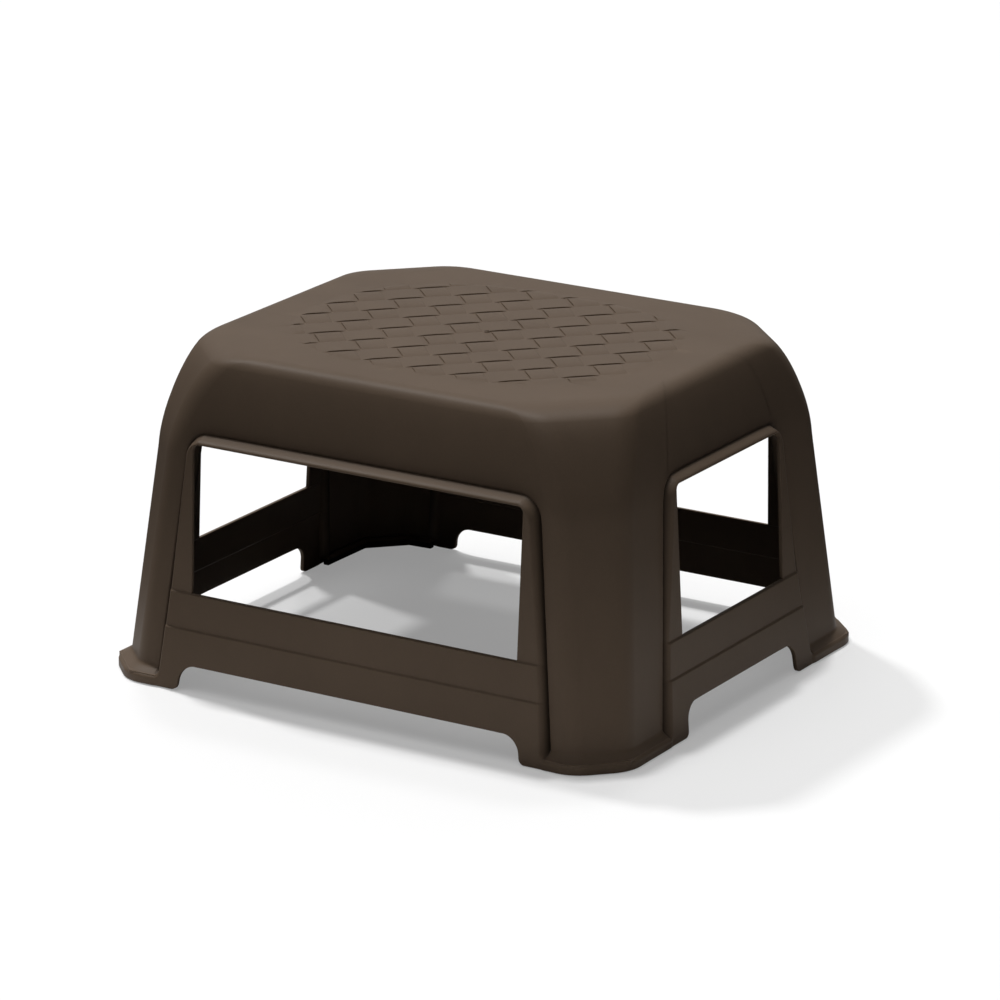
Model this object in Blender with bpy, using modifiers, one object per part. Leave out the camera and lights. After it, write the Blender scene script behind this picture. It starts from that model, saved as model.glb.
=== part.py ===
"""Moulded step stool: one thin-walled shell on four rubber foot pads.

Metres, +Z up. X runs along the seat, Y across it, and Z = 0 is the floor that the pads stand on.
"""

import math

import bmesh
import bpy

# Overall size
HALF_LENGTH = 0.200      # outer face of the end panels and feet at the floor
HALF_WIDTH = 0.176       # outer face of the side panels and feet at the floor
SEAT_HEIGHT = 0.225
WALL = 0.003
RIM_HEIGHT = 0.0005      # the shell's bottom rim stands this far off the floor, on the pads

# Foot flange: an upright lip, then a bevel up to the leg
LIP_TOP = 0.0061
BEVEL_TOP = 0.0107

# Leg faces between the panels: inset from the overall size at the floor, then draft per metre
LEG_INSET_END = 0.0055
LEG_INSET_SIDE = 0.0075
LEG_DRAFT = 0.090
SHOULDER_BOTTOM = 0.153
DECK_HALF_LENGTH = 0.1625
DECK_HALF_WIDTH = 0.1367
SHOULDER_EXPONENT = 1.43
SHOULDER_STEPS = 6

# Corner chamfer, measured along each face, and the rounding of its two edges
FOOT_CHAMFER = 0.0275
LEG_CHAMFER = 0.026
LEG_CHAMFER_GAIN = 0.031
DECK_CHAMFER = 0.049
LEG_EDGE_RADIUS = 0.012
DECK_EDGE_RADIUS = 0.027
EDGE_STEPS = 3
EDGE_RELIEF = 0.0008     # extra chamfer that keeps a sharp outline clear of the rounded edges

# Raised panel on each face, as (height, inset of its outer face); each small jump is a ledge
PANEL_PROFILE = (
    (-0.004, 0.0), (0.0420, 0.0054), (0.0426, 0.0065), (0.0662, 0.0087), (0.0668, 0.0099), (0.1695, 0.0150),
)
PANEL_TOP = 0.1695
PANEL_BLEND_TOP = 0.1730
GROOVE_WIDTH = 0.003
SIDE_GROOVE = (0.1515, 0.107)    # x of the groove at the floor, and how fast it closes in with height
END_GROOVE = (0.0975, 0.138)     # the same for y on the end faces

# Openings, as half width at the bottom and the top
WINDOW_BOTTOM = 0.0665
WINDOW_TOP = 0.1677
WINDOW_RADIUS = 0.004
SIDE_WINDOW = (0.1252, 0.1263)
END_WINDOW = (0.0670, 0.0685)
SIDE_ARCH = (0.1340, 0.1300)
SIDE_ARCH_TOP = 0.0185
SIDE_ARCH_RADIUS = 0.011
END_ARCH = (0.0735, 0.0710)
END_ARCH_TOP = 0.0220
END_ARCH_RADIUS = 0.011
CUT_REACH = 0.250        # half length of a cutter that passes through both walls

# Ribs under the deck
RIB_THICKNESS = 0.0022
RIB_BOTTOM = 0.210
RIB_TOP = SEAT_HEIGHT - 0.0025
LONG_RIB_Y = (-0.045, 0.045)
CROSS_RIB_X = (-0.080, 0.0, 0.080)
RIB_END_GAIN = 0.0030    # how far a rib's lower corner reaches past the deck outline

# Foot pads: rubber strips round each foot, under a web that closes the hollow flange
CLEARANCE = 0.0003
PAD_HEIGHT = 0.0040
PAD_INSET = 0.0044       # from the foot's outer face to the pad
PAD_WIDTH = 0.0045
PAD_END_X = 0.150        # where the strip ends along the side wall
PAD_END_Y = 0.097        # and along the end wall
WEB_BOTTOM = PAD_HEIGHT + CLEARANCE
WEB_THICKNESS = 0.0032
WEB_WIDTH = 0.0080

SHELL_COLOUR = (0.052, 0.036, 0.026, 1.0)
PAD_COLOUR = (0.020, 0.019, 0.018, 1.0)


def clear_scene():
    for obj in list(bpy.data.objects):
        bpy.data.objects.remove(obj, do_unlink=True)


def new_collection(name):
    collection = bpy.data.collections.new(name)
    bpy.context.scene.collection.children.link(collection)
    return collection


def principled(name, colour, roughness):
    material = bpy.data.materials.new(name)
    material.use_nodes = True
    shader = material.node_tree.nodes["Principled BSDF"]
    shader.inputs["Base Color"].default_value = colour
    shader.inputs["Roughness"].default_value = roughness
    shader.inputs["Metallic"].default_value = 0.0
    return material


def interpolate(profile, height):
    """Read a (height, value) profile at a height, with straight lines between its points."""
    for (low, low_value), (high, high_value) in zip(profile, profile[1:]):
        if height <= high:
            share = (height - low) / (high - low)
            return low_value + share * (high_value - low_value)
    return profile[-1][1]


class Level:
    """One horizontal section of the shell's outer skin."""

    def __init__(self, height, end_inset, side_inset, chamfer, radius):
        self.height = height
        self.leg_x = HALF_LENGTH - end_inset
        self.leg_y = HALF_WIDTH - side_inset
        self.chamfer = chamfer
        self.radius = radius
        self.tangent = radius * math.tan(math.pi / 8)
        corner = chamfer + self.tangent + GROOVE_WIDTH
        self.groove_x = min(SIDE_GROOVE[0] - SIDE_GROOVE[1] * height, self.leg_x - corner)
        self.groove_y = min(END_GROOVE[0] - END_GROOVE[1] * height, self.leg_y - corner)
        panel = interpolate(PANEL_PROFILE, height)
        on_panel = height <= PANEL_TOP
        self.panel_x = HALF_LENGTH - panel if on_panel else self.leg_x
        self.panel_y = HALF_WIDTH - panel if on_panel else self.leg_y

    def quarter(self):
        """Points from the +X side round to the +Y side."""
        points = [(self.panel_x, 0.0), (self.panel_x, self.groove_y - GROOVE_WIDTH), (self.leg_x, self.groove_y)]
        radius = self.radius
        centres = (
            (self.leg_x - radius, self.leg_y - self.chamfer - self.tangent),
            (self.leg_x - self.chamfer - self.tangent, self.leg_y - radius),
        )
        for index, (centre_x, centre_y) in enumerate(centres):
            for step in range(EDGE_STEPS + 1):
                angle = (index + step / EDGE_STEPS) * math.pi / 4
                points.append((centre_x + radius * math.cos(angle), centre_y + radius * math.sin(angle)))
        points += [(self.groove_x, self.leg_y), (self.groove_x - GROOVE_WIDTH, self.panel_y), (0.0, self.panel_y)]
        return points


def leg_level(height):
    chamfer = LEG_CHAMFER + LEG_CHAMFER_GAIN * height
    draft = LEG_DRAFT * height
    return Level(height, LEG_INSET_END + draft, LEG_INSET_SIDE + draft, chamfer, LEG_EDGE_RADIUS)


def shoulder_level(angle):
    """Section of the rounded shoulder: angle 0 meets the leg, and a quarter turn meets the deck."""
    base = leg_level(SHOULDER_BOTTOM)
    power = 2.0 / SHOULDER_EXPONENT
    inward = 1.0 - math.cos(angle) ** power
    height = SHOULDER_BOTTOM + (SEAT_HEIGHT - SHOULDER_BOTTOM) * math.sin(angle) ** power
    end_inset = HALF_LENGTH - base.leg_x + (base.leg_x - DECK_HALF_LENGTH) * inward
    side_inset = HALF_WIDTH - base.leg_y + (base.leg_y - DECK_HALF_WIDTH) * inward
    chamfer = base.chamfer + (DECK_CHAMFER - base.chamfer) * inward
    radius = base.radius + (DECK_EDGE_RADIUS - base.radius) * inward
    return Level(height, end_inset, side_inset, chamfer, radius)


def shoulder_angle(height):
    """Angle at which the shoulder reaches a height."""
    rise = (height - SHOULDER_BOTTOM) / (SEAT_HEIGHT - SHOULDER_BOTTOM)
    return math.asin(rise ** (SHOULDER_EXPONENT / 2.0))


def skin_levels():
    foot = [Level(height, 0.0, 0.0, FOOT_CHAMFER, LEG_EDGE_RADIUS) for height in (-0.004, LIP_TOP)]
    heights = [BEVEL_TOP] + [height for height, inset in PANEL_PROFILE[1:-1]] + [0.110, SHOULDER_BOTTOM]
    legs = [leg_level(height) for height in heights]
    blend = [shoulder_angle(PANEL_TOP), shoulder_angle(PANEL_BLEND_TOP)]
    first = blend[-1]
    above = [first + (math.pi / 2 - first) * step / SHOULDER_STEPS for step in range(1, SHOULDER_STEPS + 1)]
    return foot + legs + [shoulder_level(angle) for angle in blend + above]


def skin_mesh():
    """A quarter of the outer skin, open at the two symmetry planes and at the floor."""
    mesh = bpy.data.meshes.new("stool_shell")
    build = bmesh.new()
    rings = []
    for level in skin_levels():
        rings.append([build.verts.new((x, y, level.height)) for x, y in level.quarter()])
    for lower, upper in zip(rings, rings[1:]):
        for index in range(len(lower) - 1):
            build.faces.new((lower[index], lower[index + 1], upper[index + 1], upper[index]))
    centre = build.verts.new((0.0, 0.0, SEAT_HEIGHT))
    build.faces.new(rings[-1] + [centre])
    build.to_mesh(mesh)
    build.free()
    return mesh


def outline_solid(name, points, thickness, collection):
    """A flat outline in the curve's own XY plane, made a closed solid of the given thickness."""
    curve = bpy.data.curves.new(name, "CURVE")
    curve.dimensions = "2D"
    curve.fill_mode = "BOTH"
    curve.extrude = thickness / 2
    spline = curve.splines.new("POLY")
    spline.points.add(len(points) - 1)
    for point, (x, y) in zip(spline.points, points):
        point.co = (x, y, 0.0, 1.0)
    spline.use_cyclic_u = True
    source = bpy.data.objects.new(name + "_outline", curve)
    collection.objects.link(source)
    bpy.context.view_layer.update()
    evaluated = source.evaluated_get(bpy.context.evaluated_depsgraph_get())
    mesh = bpy.data.meshes.new_from_object(evaluated)
    bpy.data.objects.remove(source, do_unlink=True)
    build = bmesh.new()
    build.from_mesh(mesh)
    bmesh.ops.remove_doubles(build, verts=build.verts, dist=0.00001)
    bmesh.ops.recalc_face_normals(build, faces=build.faces)
    build.to_mesh(mesh)
    build.free()
    solid = bpy.data.objects.new(name, mesh)
    collection.objects.link(solid)
    return solid


def hide_as_cutter(obj):
    obj.hide_render = True
    obj.display_type = "WIRE"


def rounded_top(half_bottom, half_top, bottom, top, radius):
    """Outline of an opening with rounded upper corners, anticlockwise from its lower right corner."""
    points = [(half_bottom, bottom)]
    for side in (1, -1):
        for step in range(EDGE_STEPS + 1):
            angle = math.pi / 2 * step / EDGE_STEPS
            angle = angle if side > 0 else math.pi / 2 - angle
            across = half_top - radius + radius * math.cos(angle)
            points.append((side * across, top - radius + radius * math.sin(angle)))
    points.append((-half_bottom, bottom))
    return points


def cut(target, cutter, operation="DIFFERENCE"):
    modifier = target.modifiers.new(cutter.name, "BOOLEAN")
    modifier.operation = operation
    modifier.object = cutter
    modifier.solver = "EXACT"


def add_opening(target, name, points, through_y, collection):
    """Cut an outline through both side walls (through_y) or both end walls."""
    cutter = outline_solid(name, points, 2 * CUT_REACH, collection)
    turn = 0.0 if through_y else math.pi / 2
    cutter.rotation_euler = (math.pi / 2, 0.0, turn)
    hide_as_cutter(cutter)
    cut(target, cutter)


def add_rib(target, name, along_x, offset, half_reach, collection):
    points = [
        (half_reach + RIB_END_GAIN, RIB_BOTTOM), (half_reach, RIB_TOP),
        (-half_reach, RIB_TOP), (-half_reach - RIB_END_GAIN, RIB_BOTTOM),
    ]
    rib = outline_solid(name, points, RIB_THICKNESS, collection)
    rib.rotation_euler = (math.pi / 2, 0.0, 0.0 if along_x else math.pi / 2)
    rib.location = (0.0, offset, 0.0) if along_x else (offset, 0.0, 0.0)
    hide_as_cutter(rib)
    cut(target, rib, "UNION")


def corner_strip(inset, width):
    """Plan of a strip that follows the wall of the +X +Y foot, set in from its outer face."""
    rims = []
    for distance in (inset, inset + width):
        chamfer = FOOT_CHAMFER - distance * (2.0 - math.sqrt(2.0)) + EDGE_RELIEF
        rims.append((HALF_LENGTH - distance, HALF_WIDTH - distance, chamfer))
    (outer_x, outer_y, outer_c), (inner_x, inner_y, inner_c) = rims
    return [
        (outer_x, PAD_END_Y), (outer_x, outer_y - outer_c), (outer_x - outer_c, outer_y), (PAD_END_X, outer_y),
        (PAD_END_X, inner_y), (inner_x - inner_c, inner_y), (inner_x, inner_y - inner_c), (inner_x, PAD_END_Y),
    ]


def add_web(target, name, sign_x, sign_y, collection):
    """The web that closes one foot's flange above its pad, run into the wall around it."""
    points = [(sign_x * x, sign_y * y) for x, y in corner_strip(WALL / 2, WEB_WIDTH)]
    web = outline_solid(name, points, WEB_THICKNESS, collection)
    web.location = (0.0, 0.0, WEB_BOTTOM + WEB_THICKNESS / 2)
    hide_as_cutter(web)
    cut(target, web, "UNION")


def make_shell(parts, cutters):
    shell = bpy.data.objects.new("stool_shell", skin_mesh())
    parts.objects.link(shell)
    shell.data.materials.append(principled("brown_plastic", SHELL_COLOUR, 0.45))
    mirror = shell.modifiers.new("Quarter to whole", "MIRROR")
    mirror.use_axis = (True, True, False)
    mirror.use_clip = True
    mirror.merge_threshold = 0.00005
    solidify = shell.modifiers.new("Wall", "SOLIDIFY")
    solidify.thickness = WALL
    solidify.offset = -1.0
    solidify.use_even_offset = True
    side_window = rounded_top(*SIDE_WINDOW, WINDOW_BOTTOM, WINDOW_TOP, WINDOW_RADIUS)
    end_window = rounded_top(*END_WINDOW, WINDOW_BOTTOM, WINDOW_TOP, WINDOW_RADIUS)
    side_arch = rounded_top(*SIDE_ARCH, -0.010, SIDE_ARCH_TOP, SIDE_ARCH_RADIUS)
    end_arch = rounded_top(*END_ARCH, -0.010, END_ARCH_TOP, END_ARCH_RADIUS)
    add_opening(shell, "side_window_cutter", side_window, True, cutters)
    add_opening(shell, "end_window_cutter", end_window, False, cutters)
    add_opening(shell, "side_arch_cutter", side_arch, True, cutters)
    add_opening(shell, "end_arch_cutter", end_arch, False, cutters)
    for number, offset in enumerate(LONG_RIB_Y):
        add_rib(shell, "long_rib_%d" % number, True, offset, DECK_HALF_LENGTH, cutters)
    for number, offset in enumerate(CROSS_RIB_X):
        add_rib(shell, "cross_rib_%d" % number, False, offset, DECK_HALF_WIDTH, cutters)
    for name, sign_x, sign_y in CORNERS:
        add_web(shell, "web_" + name, sign_x, sign_y, cutters)
    trim_rim(shell, cutters)
    return shell


def trim_rim(shell, cutters):
    """Trim the shell's lower edge flat, just above the floor."""
    bpy.ops.mesh.primitive_cube_add(size=1.0, location=(0.0, 0.0, RIM_HEIGHT - 0.010))
    slab = bpy.context.object
    slab.name = "rim_cutter"
    slab.scale = (0.5, 0.5, 0.020)
    bpy.ops.object.transform_apply(location=False, rotation=False, scale=True)
    for collection in list(slab.users_collection):
        collection.objects.unlink(slab)
    cutters.objects.link(slab)
    hide_as_cutter(slab)
    cut(shell, slab)


def make_pads(parts):
    rubber = principled("black_rubber", PAD_COLOUR, 0.80)
    for name, sign_x, sign_y in CORNERS:
        points = [(sign_x * x, sign_y * y) for x, y in corner_strip(PAD_INSET, PAD_WIDTH)]
        pad = outline_solid("foot_pad_" + name, points, PAD_HEIGHT, parts)
        pad.location = (0.0, 0.0, PAD_HEIGHT / 2)
        pad.data.materials.append(rubber)


CORNERS = (
    ("front_left", -1, -1),
    ("front_right", 1, -1),
    ("rear_left", -1, 1),
    ("rear_right", 1, 1),
)


def main():
    clear_scene()
    parts = new_collection("step_stool")
    cutters = new_collection("cutters")
    make_shell(parts, cutters)
    make_pads(parts)


main()
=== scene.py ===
"""Looks of a moulded step stool: its shell, deck weave, ribs and foot pads, with a studio stage."""

import math

import bmesh
import bpy
from bpy.props import FloatProperty, FloatVectorProperty, PointerProperty
from mathutils import Matrix, Vector
from mathutils.geometry import delaunay_2d_cdt


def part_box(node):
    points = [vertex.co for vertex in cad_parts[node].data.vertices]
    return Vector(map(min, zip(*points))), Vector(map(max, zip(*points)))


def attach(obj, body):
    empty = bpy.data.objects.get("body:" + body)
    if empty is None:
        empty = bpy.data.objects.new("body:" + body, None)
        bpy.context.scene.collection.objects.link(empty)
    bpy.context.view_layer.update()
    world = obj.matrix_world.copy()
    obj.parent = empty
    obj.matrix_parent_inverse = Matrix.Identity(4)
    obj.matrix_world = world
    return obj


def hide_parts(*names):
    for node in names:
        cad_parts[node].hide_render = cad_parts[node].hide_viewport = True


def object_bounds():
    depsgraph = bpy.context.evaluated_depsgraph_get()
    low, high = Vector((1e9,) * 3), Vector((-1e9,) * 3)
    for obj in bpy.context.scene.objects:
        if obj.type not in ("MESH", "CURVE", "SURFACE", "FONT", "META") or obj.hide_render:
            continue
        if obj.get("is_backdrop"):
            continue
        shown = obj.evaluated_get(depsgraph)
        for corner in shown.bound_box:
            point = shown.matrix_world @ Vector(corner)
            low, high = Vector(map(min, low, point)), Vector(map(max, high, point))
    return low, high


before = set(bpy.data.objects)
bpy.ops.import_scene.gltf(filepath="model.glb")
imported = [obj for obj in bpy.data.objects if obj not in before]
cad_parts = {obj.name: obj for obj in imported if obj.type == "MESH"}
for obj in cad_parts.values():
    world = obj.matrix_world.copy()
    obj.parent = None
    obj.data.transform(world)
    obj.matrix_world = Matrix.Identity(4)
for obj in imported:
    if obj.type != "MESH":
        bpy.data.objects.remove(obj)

bl_info = {
    "name": "Moulded step stool",
    "version": (1, 0, 0),
    "blender": (4, 5, 0),
    "location": "View3D > Sidebar > Stool",
    "description": "Builds a moulded plastic step stool with a basket-weave deck around its packed frame",
    "category": "Object",
}

CAD_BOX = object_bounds()
BODY = "root"
PLASTIC_SLOT = "brown_plastic"
RUBBER_SLOT = "black_rubber"
VALLEY = "valley"        # mesh attribute: 1 at the bottom of the valleys beside the raised panels, where it sets the painted shade

# Overall size, from the frame
SHELL_LOW, SHELL_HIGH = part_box("stool_shell")
HALF_LENGTH = SHELL_HIGH[0]
HALF_WIDTH = SHELL_HIGH[1]
RIM = SHELL_LOW[2]
WEAVE_ROOM = 0.0009                      # how far the deck's flat border lies below the shell's top
DECK_HEIGHT = SHELL_HIGH[2] - WEAVE_ROOM
CLEARANCE = 0.0003                       # gap between touching pieces

# Foot flange: an upright lip, then a bevel up to the leg
LIP_TOP = 0.0061
BEVEL_TOP = 0.0107
FOOT_CORNER = 0.004
ARCH_SLOPE_TOP = 0.030       # above this height the columns beside an arch stop following its slope
ARCH_FADE = (0.024, 0.042)   # heights between which those columns spread out evenly

# Leg faces, shoulder and corner chamfer
LEG_INSET_END = 0.0055
LEG_INSET_SIDE = 0.0075
LEG_DRAFT = 0.090
SHOULDER_BOTTOM = 0.153
SHOULDER_EXPONENT = 1.43
DECK_HALF_LENGTH = 0.1634
DECK_HALF_WIDTH = 0.1376
FOOT_CHAMFER = 0.0275
LEG_CHAMFER = 0.026
LEG_CHAMFER_GAIN = 0.031
DECK_CHAMFER = 0.049
LEG_EDGE_RADIUS = 0.021
FOOT_EDGE_RADIUS = 0.028
DECK_EDGE_RADIUS = 0.030
HALF_TURN_TANGENT = math.tan(math.pi / 8)

# Raised panel on each face: (height, inset of its outer face), with a ledge at each small jump
PANEL_PROFILE = (
    (-0.004, 0.0), (0.0420, 0.0054), (0.0426, 0.0065), (0.0662, 0.0087), (0.0668, 0.0099), (0.1695, 0.0150),
)
LEDGES = (0.0423, 0.0665)
FRAME_TOP = 0.17125
SKIN_TOP = 0.1752        # above this height the shoulder has no panels or openings on it
TURN_SHARE = 0.55        # how far the inner skin's turns shift, as a share of the wall
VALLEY_MARGIN = 1.15     # reach of the fine columns past a panel's step, as a share of the valley's width
TOP_VALLEY_LOSS = 0.65   # how much shallower the valley is along a panel's top

# Ribs under the deck
LONG_RIBS_Y = (-0.045, 0.045)
CROSS_RIBS_X = (-0.080, 0.0, 0.080)
LONG_RIB_REACH = 0.1600
CROSS_RIB_REACH = 0.1345
RIB_ROOT = 0.0003        # how far a rib reaches into the deck
RIB_SECTION = ((0.0, 0.85), (0.12, 0.56), (0.9, 0.42), (1.0, 0.26))    # shares of its depth and thickness

# Trimmed sprue in the middle of the deck, as (radius, rise over the deck)
GATE_PROFILE = (
    (0.0021, -0.0003), (0.0019, 0.0006), (0.0013, 0.0009), (0.0011, 0.0013), (0.0006, 0.0014),
)
GATE_SIDES = 24

# Foot pads and the webs over them: how far each is set in from the foot's face, and its width
PAD_INSET = 0.0044
PAD_WIDTH = 0.0045
WEB_INSET = 0.0015
WEB_WIDTH = 0.0080
WEB_THICKNESS = 0.0032
PAD_BEVEL = 0.0006
WEB_BEVEL = 0.0004
STRIP_RELIEF = 0.0008    # extra chamfer that keeps a strip off the foot's rounded corner
STRIP_ENDS = (0.150, 0.097)      # x and y at which the strips round the +X +Y foot end
CORNERS = {"front_left": (-1, -1), "front_right": (1, -1), "rear_left": (-1, 1), "rear_right": (1, 1)}

# Mesh of the shell. The ring is the distances from an opening's edge at which its rounding is drawn,
# and the last one is the rounding's radius.
RING = (0.0, 0.0002, 0.00045, 0.0007)
BLEND = 8                # samples either side when a profile's corners are rounded off
CORNER_STEPS = 7         # steps round each edge of a chamfered corner
GROOVE_STEPS = 12        # steps across the step and valley beside a panel
SHOULDER_STEPS = 14      # rows up the shoulder, and again across its soft turn onto the deck
SHOULDER_SAMPLES = 200   # points along the section from which the soft turn is worked out
ROW_GAP = 0.00012        # rows closer together than this are left out
BORDER_RINGS = (0.985, 0.96, 0.92, 0.87)     # the deck's edge, drawn in by these for points round the weave
CHAMFER_LOSS = 2.0 - math.sqrt(2.0)      # how much shorter a chamfer gets for each metre that it moves in
DIAGONAL = math.sqrt(2.0)

# Camera and light
CAMERA_TARGET = (0.010, 0.001, 0.109)
LENS = 193.97            # millimetres, like the sensor's width
SENSOR = 36.0
OVERHEAD_KEY = (-0.19, 0.17, 1.0)
SIDE_KEY = (-0.68, 0.22, 1.0)
REAR_KEY = (-0.20, 0.47, 1.0)
BACK_WALL = (-0.42, 0.72, 0.55)
CEILING = (-0.08, -0.28, 0.96)

# Floor: where its light reaches the stool from, how far round there, and how white it is
BOUNCE_CENTRE = (0.14, -0.20, 0.0)
BOUNCE_REACH = (0.24, 0.60)
BOUNCE_ALBEDO = (0.97, 0.04)
SEEN_ALBEDO = 0.56


def ramp(value, low, high):
    return min(max((value - low) / (high - low), 0.0), 1.0)


def interpolate(profile, height):
    """Read a (height, value) profile at a height, with straight lines between its points."""
    for (low, low_value), (high, high_value) in zip(profile, profile[1:]):
        if height <= high:
            return low_value + (high_value - low_value) * (height - low) / (high - low)
    return profile[-1][1]


def rounded(function, value, reach):
    """A function's mean over a reach either side of a value, which rounds off its corners."""
    samples = range(-BLEND, BLEND + 1)
    return sum(function(value + reach * step / BLEND) for step in samples) / len(samples)


def lerp(start, end, share):
    return start + (end - start) * share


class Opening:
    """A window or an arch in a face, cut to a half outline with one rounded upper corner."""

    def __init__(self, half_bottom, half_top, bottom, top, radius):
        self.half_bottom = half_bottom
        self.half_top = half_top
        self.bottom = bottom
        self.top = top
        self.radius = radius

    def edge(self, height):
        return lerp(self.half_bottom, self.half_top, (height - self.bottom) / (self.top - self.bottom))

    def clearance(self, across, height):
        return max(across - self.edge(height), height - self.top, self.bottom - height)

    def round_corner(self, across, height):
        """Move a point near the square upper corner so that the lines round it follow the rounded one."""
        side = across - self.edge(height)
        over = height - self.top
        larger = max(side, over)
        smaller = min(side, over)
        radius = self.radius
        if larger < 0.0 or smaller <= -radius:
            return across, height
        weight = 1.0 - ramp(larger, RING[-1], 1.1 * radius + RING[-1])
        angle = math.pi / 4 * (smaller + radius) / (larger + radius)
        large = lerp(larger, (radius + larger) * math.cos(angle) - radius, weight)
        small = lerp(smaller, (radius + larger) * math.sin(angle) - radius, weight)
        side, over = (large, small) if side >= over else (small, large)
        return self.edge(self.top + over) + side, self.top + over

    def round_foot(self, across, height):
        """Round the lower corner of the foot beside an arch in the same way."""
        side = across - self.edge(height)
        over = height - RIM
        larger = max(side, over)
        smaller = min(side, over)
        if smaller < 0.0 or larger >= FOOT_CORNER:
            return across, height
        angle = math.pi / 4 * (FOOT_CORNER - larger) / (FOOT_CORNER - smaller)
        small = FOOT_CORNER - (FOOT_CORNER - smaller) * math.cos(angle)
        large = FOOT_CORNER - (FOOT_CORNER - smaller) * math.sin(angle)
        side, over = (small, large) if side <= over else (large, small)
        return self.edge(RIM + over) + side, RIM + over


class Face:
    """One of the two kinds of face: its window, its arch, and the step beside its raised panel.

    The step is a narrow groove line, which closes in towards the middle with height.
    """

    def __init__(self, groove, closing, window, arch, centre_columns):
        self.groove = groove
        self.closing = closing
        self.window = window
        self.arch = arch
        self.centre_columns = centre_columns

    def groove_line(self, height, groove_width):
        return self.groove - self.closing * height - groove_width / 2

    def columns(self, height, groove_centre, groove_reach, corner):
        """Distances from the middle of the face to each column of the mesh at a height."""
        window = self.window.edge(height)
        near = window - self.window.radius
        columns = [near * step / self.centre_columns for step in range(self.centre_columns)]
        columns += [near + self.window.radius * step / 4 for step in range(4)]
        columns += [window + distance for distance in RING]
        first = columns[-1]
        groove_start = groove_centre - groove_reach
        arch = self.arch.edge(min(height, ARCH_SLOPE_TOP))
        low = [lerp(first, arch, step / 4) for step in range(1, 4)]
        low += [arch + distance for distance in RING + (0.0014, 0.0024, FOOT_CORNER)]
        low += [lerp(low[-1], groove_start, step / 3) for step in range(1, 3)]
        high = [lerp(first, groove_start, (step + 1) / (len(low) + 1)) for step in range(len(low))]
        share = ramp(height, *ARCH_FADE)
        columns += [lerp(low_one, high_one, share) for low_one, high_one in zip(low, high)]
        groove_step = 2 * groove_reach / GROOVE_STEPS
        columns += [groove_start + groove_step * step for step in range(GROOVE_STEPS + 1)]
        columns += [lerp(groove_centre + groove_reach, corner, step / 3) for step in range(1, 3)]
        return columns

    def window_columns(self):
        return self.centre_columns + 4

    def arch_columns(self):
        return self.window_columns() + len(RING) + 3


def side_face():
    window = Opening(half_bottom=0.1252, half_top=0.1263, bottom=LEDGES[1], top=0.1677, radius=0.004)
    arch = Opening(half_bottom=0.1340, half_top=0.1300, bottom=-0.010, top=0.0185, radius=0.011)
    return Face(groove=0.1515, closing=0.107, window=window, arch=arch, centre_columns=9)


def end_face():
    window = Opening(half_bottom=0.0670, half_top=0.0685, bottom=LEDGES[1], top=0.1677, radius=0.004)
    arch = Opening(half_bottom=0.0735, half_top=0.0710, bottom=-0.010, top=0.0220, radius=0.011)
    return Face(groove=0.0975, closing=0.138, window=window, arch=arch, centre_columns=5)


class Skin:
    """The outer skin of the wall (wall 0) or the inner skin, a wall thickness behind it."""

    def __init__(self, shape, wall):
        turn = TURN_SHARE * wall
        self.shape = shape
        self.wall = wall
        self.lip_top = LIP_TOP - turn
        self.bevel_top = BEVEL_TOP - turn
        self.frame_top = FRAME_TOP - turn
        self.groove_shift = turn
        self.reach = shape.groove_width / 2 + VALLEY_MARGIN * shape.valley_width
        self.sign = -1.0 if wall else 1.0

    def groove_centre(self, face, height):
        return face.groove_line(height, self.shape.groove_width) - self.groove_shift

    def frame_distance(self, face, across, height):
        """Distance outside the raised panel's rounded outline, and negative inside it."""
        corner = self.shape.frame_corner
        side = across - self.groove_centre(face, height)
        over = height - self.frame_top
        if side > -corner and over > -corner:
            return math.hypot(side + corner, over + corner) - corner
        return max(side, over)

    def frame_mask(self, distance):
        """1 on the raised panel and 0 off it."""
        half = self.shape.groove_width / 2
        return 1.0 - rounded(lambda value: ramp(value, -half, half), distance, self.shape.groove_rounding)

    def valley_share(self, distance, height):
        """Relative depth of the narrow valley at the foot of the panel's step, shallower along its top."""
        place = (distance - self.shape.groove_width / 2) / self.shape.valley_width
        if abs(place) >= 1.0:
            return 0.0
        corner_start = self.frame_top - self.shape.frame_corner
        share = 1.0 - TOP_VALLEY_LOSS * ramp(height, corner_start, self.frame_top)
        return share * math.cos(math.pi / 2 * place) ** 2

    def panel_inset(self, height):
        reach = self.shape.ledge_rounding
        return rounded(lambda value: interpolate(PANEL_PROFILE, value), height, reach) + self.wall


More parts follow.
